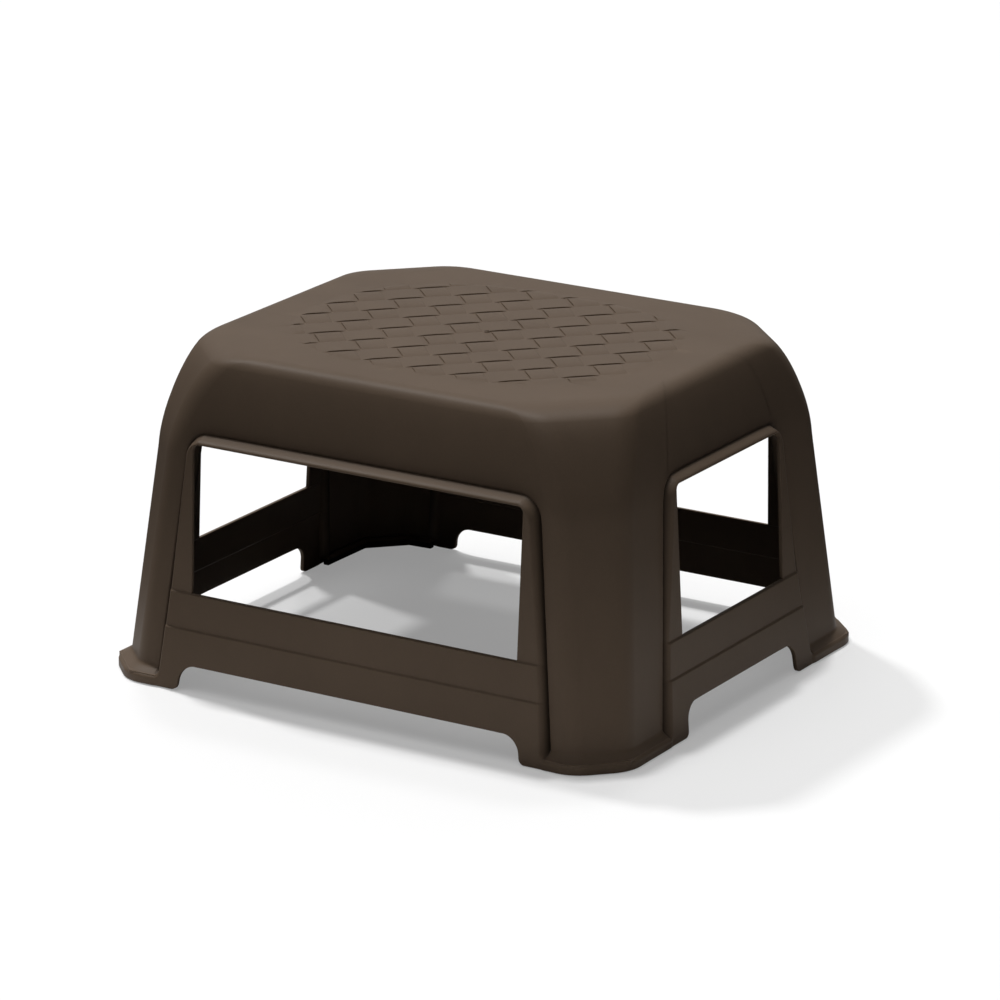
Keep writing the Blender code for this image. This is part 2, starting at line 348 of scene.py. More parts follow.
class Level:
    """One horizontal section of a skin, from the foot flange to the deck.

    The wall's thickness is taken off across or down, as the surface stands at that height.
    """

    def __init__(self, skin, height, inward, across, down):
        leg = min(height, SHOULDER_BOTTOM)
        draft = LEG_DRAFT * leg
        wall = skin.wall * across
        bevel = (skin.lip_top, skin.bevel_top)
        flare = 1.0 - rounded(lambda value: ramp(value, *bevel), height, skin.shape.lip_rounding)
        length = lerp(HALF_LENGTH - LEG_INSET_END - draft, DECK_HALF_LENGTH, inward)
        width = lerp(HALF_WIDTH - LEG_INSET_SIDE - draft, DECK_HALF_WIDTH, inward)
        chamfer = lerp(LEG_CHAMFER + LEG_CHAMFER_GAIN * leg, DECK_CHAMFER, inward)
        self.skin = skin
        self.flare = flare
        self.leg_x = lerp(length, HALF_LENGTH, flare) - wall
        self.leg_y = lerp(width, HALF_WIDTH, flare) - wall
        self.chamfer = lerp(chamfer, FOOT_CHAMFER, flare) - CHAMFER_LOSS * wall
        self.radius = lerp(lerp(LEG_EDGE_RADIUS, DECK_EDGE_RADIUS, inward), FOOT_EDGE_RADIUS, flare) - wall
        self.height = height
        self.skin_height = height - skin.wall * down

    def corner_starts(self):
        back = self.chamfer + self.radius * HALF_TURN_TANGENT
        return self.leg_x - back, self.leg_y - back

    def corner(self, steps):
        """Points from the end face round the chamfered corner to the side face."""
        start_x, start_y = self.corner_starts()
        radius = self.radius
        points = []
        for index, centre in enumerate(((self.leg_x - radius, start_y), (start_x, self.leg_y - radius))):
            for step in range(steps + 1):
                angle = (index + step / steps) * math.pi / 4
                points.append((centre[0] + radius * math.cos(angle), centre[1] + radius * math.sin(angle)))
        return [(x, y, self.skin_height, 0.0) for x, y in points]


def shoulder_inward(height):
    rise = ramp(height, SHOULDER_BOTTOM, DECK_HEIGHT)
    return 1.0 - (1.0 - rise ** SHOULDER_EXPONENT) ** (1.0 / SHOULDER_EXPONENT)


class Shoulder:
    """Section of the rounded shoulder from the skin's top to the deck, with a soft turn onto the deck."""

    def __init__(self, rounding):
        self.rounding = rounding
        self.depth = HALF_LENGTH - LEG_INSET_END - LEG_DRAFT * SHOULDER_BOTTOM - DECK_HALF_LENGTH
        power = 2.0 / SHOULDER_EXPONENT
        run = DECK_HEIGHT - SHOULDER_BOTTOM
        first = math.asin(ramp(SKIN_TOP, SHOULDER_BOTTOM, DECK_HEIGHT) ** (1.0 / power))
        points = []
        for step in range(SHOULDER_SAMPLES + 1):
            angle = lerp(first, math.pi / 2, step / SHOULDER_SAMPLES)
            inward = 1.0 - max(math.cos(angle), 0.0) ** power
            points.append(Vector((self.depth * inward, SHOULDER_BOTTOM + run * math.sin(angle) ** power)))
        lengths = [0.0]
        for start, finish in zip(points, points[1:]):
            lengths.append(lengths[-1] + (finish - start).length)
        self.corner = lengths[-1]
        points.append(points[-1] + Vector((1.0, 0.0)))
        lengths.append(self.corner + 1.0)
        self.across = [(length, point.x) for length, point in zip(lengths, points)]
        self.up = [(length, point.y) for length, point in zip(lengths, points)]

    def point(self, length):
        reach = min(self.rounding, length)
        across = rounded(lambda value: interpolate(self.across, value), length, reach)
        return Vector((across, rounded(lambda value: interpolate(self.up, value), length, reach)))

    def stations(self):
        """Lengths along the section at which the mesh has a row, closer together in the soft turn."""
        turn = self.corner - self.rounding
        shares = [step / SHOULDER_STEPS for step in range(1, SHOULDER_STEPS + 1)]
        return [turn * share for share in shares] + [turn + 2.0 * self.rounding * share for share in shares]

    def level(self, skin, length):
        point = self.point(length)
        nudge = 0.0001
        slope = (self.point(length + nudge) - self.point(length - nudge)).normalized()
        return Level(skin, point.y, point.x / self.depth, slope.y, slope.x)


def row_heights():
    """Heights of the mesh's rows below the shoulder, close together wherever the surface turns.

    The rows at an opening's edge are exact, and the rows that crowd them or each other are left out.
    """
    side = side_face()
    exact = [end_face().arch.top, LEDGES[1]]
    exact += [top + distance for top in (side.arch.top, side.window.top) for distance in (0.0, RING[-1])]
    rows = exact + [RIM + distance for distance in RING[1:-1]]
    rows += [top + distance for top in (side.arch.top, side.window.top) for distance in RING]
    rows += [end_face().arch.top + distance for distance in RING[:-1]]
    rows += [LEDGES[1] - distance for distance in RING]
    rows += [ledge + 0.0003 * step for ledge in LEDGES for step in range(-4, 5)]
    rows += [0.0020, 0.0032, RIM + FOOT_CORNER]
    rows += [0.0051, 0.0057, 0.0062, 0.0067, 0.0074, 0.0084, 0.0095, 0.0102, 0.0108, 0.0115, 0.0124]
    rows += [0.0136, 0.0148, 0.0160, 0.0172, 0.0180, 0.0200, 0.0210, 0.0250, 0.0290, 0.0350, 0.0405]
    rows += [0.055, 0.080, 0.095, 0.110, 0.125, 0.140, 0.150, 0.156, 0.1595]
    rows += [0.1615, 0.1630, 0.1640, 0.1650, 0.1660, 0.1670]
    rows += [0.1690 + 0.0006 * step for step in range(10)] + [SKIN_TOP]
    exact = {round(row, 7) for row in exact}
    kept = []
    for row in sorted({round(row, 7) for row in rows}):
        crowds_exact = any(abs(row - value) < ROW_GAP for value in exact)
        crowds_last = kept and row - kept[-1] < ROW_GAP
        if row in exact or not (crowds_exact or crowds_last):
            kept.append(row)
    return kept


def edge_depth(distance):
    """How far the surface has turned in, at a distance from the edge of an opening."""
    radius = RING[-1]
    if distance >= radius:
        return 0.0
    return radius - math.sqrt(radius * radius - (radius - distance) ** 2)


def face_row(level, face, along_x):
    """One row of points on a face, from its middle out to the corner."""
    skin = level.skin
    height = level.height
    start_x, start_y = level.corner_starts()
    corner = start_x if along_x else start_y
    leg = level.leg_y if along_x else level.leg_x
    limit = HALF_WIDTH if along_x else HALF_LENGTH
    centre = skin.groove_centre(face, height)
    points = []
    for across in face.columns(height, centre, skin.reach, corner):
        clear = min(face.window.clearance(across, height), face.arch.clearance(across, height))
        clear = min(abs(clear) if clear < 0.0 else clear, height - RIM)
        u, z = across, height
        for opening in (face.window, face.arch):
            u, z = opening.round_corner(u, z)
        u, z = face.arch.round_foot(u, z)
        distance = skin.frame_distance(face, u, z)
        out = lerp(leg, limit - skin.panel_inset(z), skin.frame_mask(distance))
        valley = skin.valley_share(distance, z) * (1.0 - level.flare)
        out -= skin.sign * edge_depth(clear) + skin.shape.valley_depth * valley
        points.append((u, out, z, valley) if along_x else (out, u, z, valley))
    return points


def upper_face_row(level, along_x, shares):
    """One row of points on the plain shoulder above a face, at these shares of the way to the corner."""
    start_x, start_y = level.corner_starts()
    if along_x:
        return [(share * start_x, level.leg_y, level.skin_height, 0.0) for share in shares]
    return [(level.leg_x, share * start_y, level.skin_height, 0.0) for share in shares]


def skin_rows(skin, side, end):
    """Every row of a skin's quarter, each running from the end face's middle to the side face's."""
    rows = []
    for height in row_heights():
        level = Level(skin, height, shoulder_inward(height), 1.0, 0.0)
        row = face_row(level, end, False) + level.corner(CORNER_STEPS)
        rows.append(row + face_row(level, side, True)[::-1])
    top = Level(skin, SKIN_TOP, shoulder_inward(SKIN_TOP), 1.0, 0.0)
    shares = []
    for face, corner in zip((side, end), top.corner_starts()):
        columns = face.columns(SKIN_TOP, skin.groove_centre(face, SKIN_TOP), skin.reach, corner)
        shares.append([column / corner for column in columns])
    shoulder = Shoulder(skin.shape.shoulder_rounding)
    for length in shoulder.stations():
        level = shoulder.level(skin, length)
        row = upper_face_row(level, False, shares[1]) + level.corner(CORNER_STEPS)
        rows.append(row + upper_face_row(level, True, shares[0])[::-1])
    return rows


def inside_opening(row, column, heights, side, end, width):
    """Whether the mesh cell above a row and after a column lies in a window or an arch."""
    low, high = heights[row], heights[row + 1]
    tiny = 1e-7
    for face, index in ((end, column), (side, width - 2 - column)):
        beside_window = index + 1 <= face.window_columns()
        if beside_window and low >= face.window.bottom - tiny and high <= face.window.top + tiny:
            return True
        if index + 1 <= face.arch_columns() and high <= face.arch.top + tiny:
            return True
    return False


def quarter_shell(shape):
    """A quarter of the shell with its thickness, open at the symmetry planes and at the deck."""
    side = side_face()
    end = end_face()
    build = bmesh.new()
    # The valley share is kept on the mesh for the painted shade in the valleys.
    valleys = build.verts.layers.float.new(VALLEY)
    skins = []
    for wall in (0.0, shape.wall):
        rows = skin_rows(Skin(shape, wall), side, end)
        skins.append([[build.verts.new(point[:3]) for point in row] for row in rows])
        for points, verts in zip(rows, skins[-1]):
            for point, vert in zip(points, verts):
                vert[valleys] = point[3]
    heights = row_heights()
    width = len(skins[0][0])
    cells = set()
    for row in range(len(skins[0]) - 1):
        for column in range(width - 1):
            lower_part = row < len(heights) - 1
            if not (lower_part and inside_opening(row, column, heights, side, end, width)):
                cells.add((row, column))
    for row, column in cells:
        for skin, order in zip(skins, (1, -1)):
            low, high = skin[row], skin[row + 1]
            corners = (low[column], low[column + 1], high[column + 1], high[column])
            build.faces.new(corners[::order])
    last = len(skins[0]) - 1
    for row, column in cells:
        around = (
            ((row - 1, column), (row, column), (row, column + 1)),
            ((row, column + 1), (row, column + 1), (row + 1, column + 1)),
            ((row + 1, column), (row + 1, column + 1), (row + 1, column)),
            ((row, column - 1), (row + 1, column), (row, column)),
        )
        for neighbour, start, finish in around:
            on_plane = neighbour[1] < 0 or neighbour[1] >= width - 1
            if neighbour in cells or on_plane or neighbour[0] >= last:
                continue
            outer, inner = skins
            build.faces.new((
                outer[finish[0]][finish[1]], outer[start[0]][start[1]],
                inner[start[0]][start[1]], inner[finish[0]][finish[1]],
            ))
    return build


def mirror_whole(build):
    """Copy a quarter across both symmetry planes and weld the four together."""
    for scale in ((-1.0, 1.0, 1.0), (1.0, -1.0, 1.0)):
        copied = bmesh.ops.duplicate(build, geom=build.verts[:] + build.edges[:] + build.faces[:])["geom"]
        verts = [item for item in copied if isinstance(item, bmesh.types.BMVert)]
        faces = [item for item in copied if isinstance(item, bmesh.types.BMFace)]
        bmesh.ops.scale(build, vec=scale, verts=verts)
        bmesh.ops.reverse_faces(build, faces=faces)
    bmesh.ops.remove_doubles(build, verts=build.verts, dist=0.000002)


class Weave:
    """Basket weave at 45 degrees, in a rounded border: each cell is a pillow along its strand.

    Strands one way run lengthwise, and the strands that they cross are narrower by the overrun.
    """

    def __init__(self, shape):
        self.cell = shape.weave_cell
        self.rise = shape.weave_height
        self.half_length = shape.weave_half_length
        self.half_width = shape.weave_half_width
        self.fade = shape.weave_fade
        self.wall = 0.00014      # width of the steep wall at a strand's long edge
        self.wall_share = 0.72   # how much of the rise that wall takes
        self.turn = 0.0016       # where the rounding after the wall ends
        self.bow = 3.6           # power of a pillow's curve along its strand
        self.border_power = 2.55
        self.overrun = 0.11      # share of a cell that the lengthwise strands reach past each end
        self.far_edge = 0.35     # their height along the far edge, as a share of the near edge's

    def border(self, x, y):
        """Distance inside the border, roughly, and negative outside it."""
        radial = math.hypot(x, y)
        power = self.border_power
        share = (abs(x / self.half_length) ** power + abs(y / self.half_width) ** power) ** (1.0 / power)
        return radial / share - radial if share > 1e-6 else self.half_width

    def edge_profile(self, distance):
        """Rise of a pillow near its long edge: a steep wall, then a small rounding."""
        turn = ramp(distance, self.wall, self.turn)
        rounding = math.sqrt(1.0 - (1.0 - turn) ** 2)
        return lerp(rounding, ramp(distance, 0.0, self.wall), self.wall_share)

    def height(self, x, y):
        inside = self.border(x, y)
        if inside <= 0.0:
            return 0.0
        along = (x + y) / DIAGONAL
        aside = (y - x) / DIAGONAL
        first = math.floor(along / self.cell)
        second = math.floor(aside / self.cell)
        lengthwise = along / self.cell - first - 0.5
        crosswise = aside / self.cell - second - 0.5
        is_long = (first - second) % 2 == 0
        if not is_long and abs(lengthwise) > 0.5 - self.overrun:
            lengthwise -= math.copysign(1.0, lengthwise)
            is_long = True
        if is_long:
            pillow = 1.0 - abs(lengthwise / (0.5 + self.overrun)) ** self.bow
            pillow *= lerp(1.0, self.far_edge, crosswise + 0.5)
            edge = 0.5 - abs(crosswise)
        else:
            pillow = 1.0 - abs(2.0 * crosswise) ** self.bow
            edge = 0.5 - self.overrun - abs(lengthwise)
        fade = ramp(inside, 0.0, self.fade)
        profile = self.edge_profile(max(edge, 0.0) * self.cell)
        return self.rise * max(pillow, 0.0) * profile * fade * fade * (3.0 - 2.0 * fade)

    def places(self, half):
        """Places of the mesh lines across a strand of this half width."""
        offsets = (0.0, self.wall, 0.0004, 0.0008, self.turn, 0.0050)
        return [offset - half for offset in offsets] + [0.0] + [half - offset for offset in offsets[::-1]]

    def lines(self):
        """Segments of the mesh lines inside the border, as pairs of plan points."""
        reach = int(self.half_length * 1.5 / self.cell) + 1
        half = self.cell / 2
        overrun = self.overrun * self.cell
        outside = 0.0005     # how far outside the border a line may still reach
        shares = [math.sin(math.pi / 2 * step / 6) for step in range(-6, 7)]
        long_runs = [[(share * (half + overrun), place) for share in shares] for place in self.places(half)]
        cross_runs = [[(place, share * half) for share in shares] for place in self.places(half - overrun)]
        for first in range(-reach, reach):
            for second in range(-reach, reach):
                for run in cross_runs if (first - second) % 2 else long_runs:
                    points = []
                    for along, aside in run:
                        along += (first + 0.5) * self.cell
                        aside += (second + 0.5) * self.cell
                        points.append(((along - aside) / DIAGONAL, (along + aside) / DIAGONAL))
                    for start, finish in zip(points, points[1:]):
                        if min(self.border(*start), self.border(*finish)) > -outside:
                            yield start, finish


def deck_height(x, y, crown):
    """Height of the slightly domed deck, without the weave."""
    share = math.hypot(x / DECK_HALF_LENGTH, y / DECK_HALF_WIDTH)
    return DECK_HEIGHT + crown * max(1.0 - share * share, 0.0)


def open_rings(build):
    """The two open loops at the deck, each in order round the middle, lower one first."""
    verts = set()
    for edge in build.edges:
        if edge.is_boundary:
            verts.update(edge.verts)
    middle = DECK_HEIGHT - 0.0015        # between the wall's two surfaces
    rings = []
    for below in (True, False):
        ring = [vert for vert in verts if (vert.co.z < middle) == below]
        rings.append(sorted(ring, key=lambda vert: math.atan2(vert.co.y, vert.co.x)))
    return rings


def close_deck(build, shape):
    """Fill the deck's upper side with the weave, and its underside flat."""
    inner, outer = open_rings(build)
    weave = Weave(shape)
    keys = {}
    points = []
    edges = set()

    def place(x, y):
        key = (round(x, 6), round(y, 6))
        if key not in keys:
            keys[key] = len(points)
            points.append(Vector((x, y)))
        return keys[key]

    rim = [place(vert.co.x, vert.co.y) for vert in outer]
    edges.update(zip(rim, rim[1:] + rim[:1]))
    for scale in BORDER_RINGS:
        for x, y in [(vert.co.x * scale, vert.co.y * scale) for vert in outer[::2]]:
            if weave.border(x, y) < -0.002:
                place(x, y)
    for start, finish in weave.lines():
        edges.add((place(*start), place(*finish)))
    result = delaunay_2d_cdt(points, list(edges), [], 0, 1e-7)
    flat_points, faces, sources = result[0], result[2], result[3]
    known = {index: vert for index, vert in zip(rim, outer)}
    verts = []
    for point, source in zip(flat_points, sources):
        match = [known[index] for index in source if index in known]
        if match:
            verts.append(match[0])
            continue
        z = deck_height(point.x, point.y, shape.deck_crown) + weave.height(point.x, point.y)
        verts.append(build.verts.new((point.x, point.y, z)))
    for face in faces:
        corners = [verts[index] for index in face]
        if len(set(corners)) == len(corners):
            build.faces.new(corners)
    build.faces.new(inner[::-1])
    bmesh.ops.triangulate(build, faces=[face for face in build.faces if len(face.verts) > 4])


def finish_mesh(name, build, material, sharp=52.0):
    """Make a smooth-shaded object from a bmesh, with its flat areas kept flat."""
    bmesh.ops.recalc_face_normals(build, faces=build.faces)
    mesh = bpy.data.meshes.new(name)
    build.to_mesh(mesh)
    build.free()
    mesh.shade_smooth()
    mesh.set_sharp_from_angle(angle=math.radians(sharp))
    mesh.materials.append(material)
    piece = bpy.data.objects.new(name, mesh)
    bpy.context.scene.collection.objects.link(piece)
    weighted = piece.modifiers.new("Flat areas", "WEIGHTED_NORMAL")
    weighted.keep_sharp = True
    return piece


def put_on_frame(piece, slot, *nodes):
    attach(piece, BODY)
    if nodes:
        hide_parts(*nodes)


# Materials

def socket(group, name, kind, in_out, default=None):
    item = group.interface.new_socket(name=name, in_out=in_out, socket_type=kind)
    if default is not None:
        item.default_value = default
    return item


def link_values(node, links, values):
    """Fill a node's first inputs, each with a number, a vector or another node's output."""
    for index, value in enumerate(values):
        if isinstance(value, bpy.types.NodeSocket):
            links.new(value, node.inputs[index])
        else:
            node.inputs[index].default_value = value


def math_node(nodes, links, operation, *values):
    node = nodes.new("ShaderNodeMath")
    node.operation = operation
    link_values(node, links, values)
    return node.outputs[0]


def vector_node(nodes, links, operation, *values):
    """A vector sum, and its outputs: Vector, or Value where the result is a number."""
    node = nodes.new("ShaderNodeVectorMath")
    node.operation = operation
    link_values(node, links, values)
    return node.outputs


def scaled_colour(nodes, links, colour, gain):
    node = nodes.new("ShaderNodeVectorMath")
    node.operation = "SCALE"
    links.new(colour, node.inputs[0])
    if isinstance(gain, float):
        node.inputs["Scale"].default_value = gain
    else:
        links.new(gain, node.inputs["Scale"])
    return node.outputs[0]


def range_node(nodes, links, value, start, finish, low, high, curve="LINEAR"):
    """Carry a value from the range start..finish to the range low..high."""
    node = nodes.new("ShaderNodeMapRange")
    node.interpolation_type = curve
    link_values(node, links, (value, start, finish, low, high))
    return node.outputs[0]


def noise_node(nodes, links, vector, scale, detail, roughness=0.5):
    node = nodes.new("ShaderNodeTexNoise")
    node.inputs["Detail"].default_value = detail
    node.inputs["Roughness"].default_value = roughness
    links.new(vector, node.inputs["Vector"])
    if isinstance(scale, float):
        node.inputs["Scale"].default_value = scale
    else:
        links.new(scale, node.inputs["Scale"])
    return node.outputs["Fac"]


def moulded_texture_group():
    """Fine spark-eroded mould texture: a bump height, and how matt each spot of it is."""
    group = bpy.data.node_groups.new("moulded_texture", "ShaderNodeTree")
    socket(group, "Grain Scale", "NodeSocketFloat", "INPUT", 1500.0)
    socket(group, "Roughness", "NodeSocketFloat", "INPUT", 0.5)
    socket(group, "Roughness Spread", "NodeSocketFloat", "INPUT", 0.08)
    socket(group, "Height", "NodeSocketFloat", "OUTPUT")
    socket(group, "Surface Roughness", "NodeSocketFloat", "OUTPUT")
    nodes, links = group.nodes, group.links
    inputs = nodes.new("NodeGroupInput").outputs
    outputs = nodes.new("NodeGroupOutput").inputs
    place = nodes.new("ShaderNodeTexCoord").outputs["Object"]
    grain = noise_node(nodes, links, place, inputs["Grain Scale"], 2.0, 0.6)
    coarse_scale = math_node(nodes, links, "MULTIPLY", inputs["Grain Scale"], 0.22)
    coarse = noise_node(nodes, links, place, coarse_scale, 1.0)
    waves = noise_node(nodes, links, place, 26.0, 1.0)
    fine = math_node(nodes, links, "MULTIPLY", grain, 0.7)
    both = math_node(nodes, links, "MULTIPLY_ADD", coarse, 0.3, fine)
    links.new(math_node(nodes, links, "MULTIPLY_ADD", waves, 1.6, both), outputs["Height"])
    cloud = noise_node(nodes, links, place, 18.0, 4.0, 0.62)
    off = math_node(nodes, links, "SUBTRACT", cloud, 0.5)
    spread = math_node(nodes, links, "MULTIPLY", off, inputs["Roughness Spread"])
    links.new(math_node(nodes, links, "ADD", inputs["Roughness"], spread), outputs["Surface Roughness"])
    return group


def tone_group():
    """Colour of a moulding: cloudy flow marks, pigment specks, painted shade in the valleys and paler
    convex edges.
    """
    group = bpy.data.node_groups.new("moulding_tone", "ShaderNodeTree")
    socket(group, "Colour", "NodeSocketColor", "INPUT", (0.05, 0.04, 0.03, 1.0))
    socket(group, "Flow Marks", "NodeSocketFloat", "INPUT", 0.12)
    socket(group, "Edge Lightening", "NodeSocketFloat", "INPUT", 0.3)
    socket(group, "Crevice Shade", "NodeSocketFloat", "INPUT", 0.75)
    socket(group, "Colour", "NodeSocketColor", "OUTPUT")
    nodes, links = group.nodes, group.links
    inputs = nodes.new("NodeGroupInput").outputs
    outputs = nodes.new("NodeGroupOutput").inputs
    place = nodes.new("ShaderNodeTexCoord").outputs["Object"]
    stretch = nodes.new("ShaderNodeMapping")
    stretch.inputs["Scale"].default_value = (1.0, 1.4, 0.6)
    links.new(place, stretch.inputs["Vector"])
    cloud = noise_node(nodes, links, stretch.outputs[0], 14.0, 5.0, 0.6)
    specks = noise_node(nodes, links, place, 700.0, 1.0)
    slow = math_node(nodes, links, "SUBTRACT", cloud, 0.5)
    quick = math_node(nodes, links, "SUBTRACT", specks, 0.5)
    both = math_node(nodes, links, "MULTIPLY_ADD", quick, 0.25, slow)
    shift = math_node(nodes, links, "MULTIPLY", both, inputs["Flow Marks"])
    gain = math_node(nodes, links, "MULTIPLY_ADD", shift, 2.0, 1.0)
    # Painted shade: the valley attribute darkens the colour at the bottom of each valley beside a panel.
    valley = nodes.new("ShaderNodeAttribute")
    valley.attribute_name = VALLEY
    shade = math_node(nodes, links, "MULTIPLY", valley.outputs["Fac"], inputs["Crevice Shade"])
    gain = math_node(nodes, links, "MULTIPLY", gain, math_node(nodes, links, "SUBTRACT", 1.0, shade))
    plain = scaled_colour(nodes, links, inputs["Colour"], gain)
    # Convex edges are made paler, in cloudy patches.
    pointed = nodes.new("ShaderNodeNewGeometry").outputs["Pointiness"]
    convex = range_node(nodes, links, pointed, 0.53, 0.62, 0.0, 1.0)
    paler_edges = math_node(nodes, links, "MULTIPLY", convex, inputs["Edge Lightening"])
    mix = nodes.new("ShaderNodeMix")
    mix.data_type = "RGBA"
    links.new(math_node(nodes, links, "MULTIPLY", paler_edges, cloud), mix.inputs["Factor"])
    links.new(plain, mix.inputs[6])      # colour A
    links.new(scaled_colour(nodes, links, plain, 2.2), mix.inputs[7])      # colour B
    links.new(mix.outputs[2], outputs["Colour"])
    return group


def group_node(material, name, maker):
    tree = bpy.data.node_groups.get(name) or maker()
    node = material.node_tree.nodes.new("ShaderNodeGroup")
    node.node_tree = tree
    return node


def moulded_material(name, colour, specular, tone_values, texture_values, grain_depth):
    """A moulded surface: its tone and texture come from the shared groups, with values of its own."""
    material = bpy.data.materials.get(name)
    if material:
        return material
    material = bpy.data.materials.new(name)
    material.use_nodes = True
    nodes, links = material.node_tree.nodes, material.node_tree.links
    shader = nodes["Principled BSDF"]
    shader.inputs["Metallic"].default_value = 0.0
    shader.inputs["Specular IOR Level"].default_value = specular
    tone = group_node(material, "moulding_tone", tone_group)
    tone.inputs["Colour"].default_value = (*colour, 1.0)
    links.new(tone.outputs["Colour"], shader.inputs["Base Color"])
    texture = group_node(material, "moulded_texture", moulded_texture_group)
    for node, values in ((tone, tone_values), (texture, texture_values)):
        for field, value in values.items():
            node.inputs[field].default_value = value
    links.new(texture.outputs["Surface Roughness"], shader.inputs["Roughness"])
    bump = nodes.new("ShaderNodeBump")
    bump.inputs["Strength"].default_value = 1.0
    bump.inputs["Distance"].default_value = grain_depth
    links.new(texture.outputs["Height"], bump.inputs["Height"])
    links.new(bump.outputs["Normal"], shader.inputs["Normal"])
    return material


def brown_plastic():
    finish = bpy.context.scene.stool_finish
    tone = {"Flow Marks": 0.14, "Edge Lightening": 0.35}
    texture = {"Grain Scale": 1500.0, "Roughness": finish.plastic_roughness}
    colour = finish.plastic_colour
    return moulded_material("espresso_plastic", colour, 0.07, tone, texture, finish.grain_depth)


def black_rubber():
    finish = bpy.context.scene.stool_finish
    tone = {"Flow Marks": 0.10, "Edge Lightening": 0.20}
    texture = {"Grain Scale": 2600.0, "Roughness": 0.82}
    return moulded_material("black_rubber", finish.rubber_colour, 0.3, tone, texture, 0.00008)


# Settings

class StoolShape(bpy.types.PropertyGroup):
    wall: FloatProperty(name="Wall", description="Wall thickness", default=0.003, unit="LENGTH")
    groove_width: FloatProperty(
        name="Panel step", description="Width of the step beside a panel", default=0.003, unit="LENGTH")
    groove_rounding: FloatProperty(
        name="Step rounding", description="Rounding of the step's two edges", default=0.0009, unit="LENGTH")
    valley_width: FloatProperty(
        name="Valley width", description="Half width of a panel's valley", default=0.0018, unit="LENGTH")
    valley_depth: FloatProperty(
        name="Valley depth", description="Depth of a panel's valley", default=0.0026, unit="LENGTH")
    ledge_rounding: FloatProperty(
        name="Ledge rounding", description="Rounding of the two ledges", default=0.0004, unit="LENGTH")
    lip_rounding: FloatProperty(
        name="Foot rounding", description="Rounding of the foot flange", default=0.0012, unit="LENGTH")
    frame_corner: FloatProperty(
        name="Frame corner", description="Radius of a panel's upper corners", default=0.012, unit="LENGTH")
    deck_crown: FloatProperty(
        name="Deck crown", description="Rise of the deck at its middle", default=0.0003, unit="LENGTH")
    weave_cell: FloatProperty(
        name="Weave cell", description="Side of one square of the weave", default=0.02305, unit="LENGTH")
    weave_height: FloatProperty(
        name="Weave height", description="Rise of a strand over the deck", default=0.0009, unit="LENGTH")
    weave_half_length: FloatProperty(
        name="Weave half length", description="Half length of the weave", default=0.131, unit="LENGTH")
    weave_half_width: FloatProperty(
        name="Weave half width", description="Half width of the weave", default=0.106, unit="LENGTH")
    weave_fade: FloatProperty(
        name="Weave fade", description="Width over which the weave rises", default=0.005, unit="LENGTH")
    shoulder_rounding: FloatProperty(
        name="Deck turn", description="Half length of the turn to the deck", default=0.0085, unit="LENGTH")
    rib_thickness: FloatProperty(
        name="Rib thickness", description="Thickness of a rib", default=0.0022, unit="LENGTH")
    rib_depth: FloatProperty(
        name="Rib depth", description="How far a rib hangs under the deck", default=0.0118, unit="LENGTH")


class StoolFinish(bpy.types.PropertyGroup):
    plastic_colour: FloatVectorProperty(
        name="Plastic", description="Colour of the moulding", subtype="COLOR", size=3, min=0.0, max=1.0,
        default=(0.093, 0.066, 0.046))
    rubber_colour: FloatVectorProperty(
        name="Rubber", description="Colour of the foot pads", subtype="COLOR", size=3, min=0.0, max=1.0,
        default=(0.018, 0.017, 0.016))
    plastic_roughness: FloatProperty(
        name="Roughness", description="Roughness of the plastic", subtype="FACTOR", min=0.0, max=1.0,
        default=0.46)
    grain_depth: FloatProperty(
        name="Grain depth", description="Depth of the mould texture", default=0.00006, unit="LENGTH")


class StoolStage(bpy.types.PropertyGroup):
    azimuth: FloatProperty(
        name="Azimuth", description="Camera azimuth", default=math.radians(31.55), unit="ROTATION")
    elevation: FloatProperty(
        name="Elevation", description="Camera elevation", default=math.radians(17.74), unit="ROTATION")
    roll: FloatProperty(name="Roll", description="Camera roll", default=math.radians(0.16), unit="ROTATION")
    distance: FloatProperty(name="Distance", description="Camera distance", default=3.6, unit="LENGTH")
    key_light: FloatProperty(name="Key", description="Overhead light", default=1.6, min=0.0)
    side_light: FloatProperty(name="Side", description="Light from the left", default=1.35, min=0.0)
    rear_light: FloatProperty(name="Rear", description="Light from behind", default=0.40, min=0.0)
    room_light: FloatProperty(name="Room", description="Brightness of the back wall", default=0.50, min=0.0)
    dome_light: FloatProperty(name="Dome", description="Brightness of the ceiling", default=1.5, min=0.0)
    floor_lift: FloatProperty(
        name="Floor lift", description="How far the floor's shadows are lifted", default=0.28, min=0.0)


# Pieces

class STOOL_OT_shell(bpy.types.Operator):
    """Build the moulded shell: legs, framed windows, rails, shoulders and the woven deck"""
    bl_idname = "stool.shell"
    bl_label = "Shell"

    def execute(self, context):
        shape = context.scene.stool_shape
        build = quarter_shell(shape)
        mirror_whole(build)
        close_deck(build, shape)
        shell = finish_mesh("moulded_shell", build, brown_plastic())
        put_on_frame(shell, PLASTIC_SLOT, "stool_shell")
        return {"FINISHED"}


def taper_bar(build, start, finish, top, depth, thickness):
    """A bar between two plan points, thinner at its lower edge, as a rib is moulded."""
    along = (Vector(finish) - Vector(start)).normalized()
    aside = Vector((-along.y, along.x))
    rings = []
    for depth_share, half_share in RIB_SECTION:
        z = top - depth_share * depth
        ring = []
        for end, back in ((Vector(start), 1.0), (Vector(finish), -1.0)):
            for sign in (1.0, -1.0):
                spot = end + aside * half_share * thickness * sign * back
                ring.append(build.verts.new((spot.x, spot.y, z)))
        rings.append(ring)
    for upper, lower in zip(rings, rings[1:]):
        for index in range(4):
            after = (index + 1) % 4
            build.faces.new((upper[index], upper[after], lower[after], lower[index]))
    build.faces.new(rings[0][::-1])
    build.faces.new(rings[-1])


